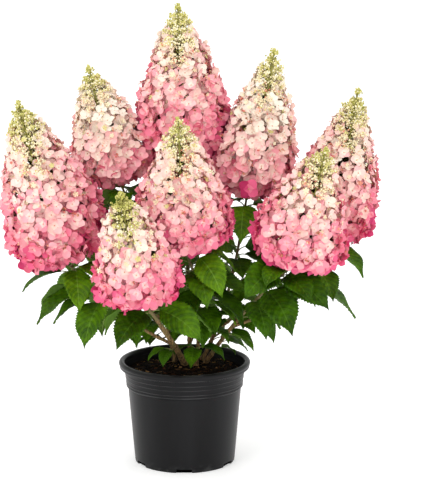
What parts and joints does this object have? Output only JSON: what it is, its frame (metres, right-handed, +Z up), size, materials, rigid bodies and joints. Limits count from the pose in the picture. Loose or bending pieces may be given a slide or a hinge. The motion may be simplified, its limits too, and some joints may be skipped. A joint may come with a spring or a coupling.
{
  "type": "potted hydrangea",
  "caption": "Panicle hydrangea with cone-shaped pink and cream flower heads over drooping green leaves, in a round black nursery pot.",
  "frame": {"origin": "centre of the pot's flat underside", "axes": "+Z up, -Y towards the front of the plant, +X to the right as seen from the front"},
  "size_m": [0.5919, 0.486, 0.726],
  "materials": {
    "pot_plastic": "satin black moulded plastic",
    "mix": "moist bark and peat",
    "bark": "matt, finely ridged",
    "foliage": "satin, veined",
    "blossom": "soft, from cream at the tip to deep pink at the foot"
  },
  "bodies": {
    "root": {"pot": "pot_plastic", "potting_mix": "mix", "stem_front_left": "bark", "leaves_front_left": "foliage", "flower_head_front_left": "blossom", "stem_front": "bark", "leaves_front": "foliage", "flower_head_front": "blossom", "stem_front_right": "bark", "leaves_front_right": "foliage", "flower_head_front_right": "blossom", "stem_top": "bark", "leaves_top": "foliage", "flower_head_top": "blossom", "stem_upper_left": "bark", "leaves_upper_left": "foliage", "flower_head_upper_left": "blossom", "stem_upper_right": "bark", "leaves_upper_right": "foliage", "flower_head_upper_right": "blossom", "bough_left": "bark", "leaves_left": "foliage", "flower_head_left": "blossom", "bough_right": "bark", "leaves_right": "foliage", "flower_head_right": "blossom", "bough_back": "bark", "leaves_back": "foliage", "flower_head_back": "blossom", "bough_back_left": "bark", "leaves_back_left": "foliage", "flower_head_back_left": "blossom", "bough_back_right": "bark", "leaves_back_right": "foliage", "flower_head_back_right": "blossom", "low_leaves_front": "foliage", "low_leaves_front_left": "foliage", "low_leaves_front_right": "foliage", "low_leaves_left": "foliage", "low_leaves_right": "foliage", "low_leaves_back_left": "foliage", "low_leaves_back_right": "foliage", "low_leaves_middle": "foliage", "low_leaves_far_left": "foliage", "low_leaves_far_right": "foliage"}
  },
  "joints": []
}
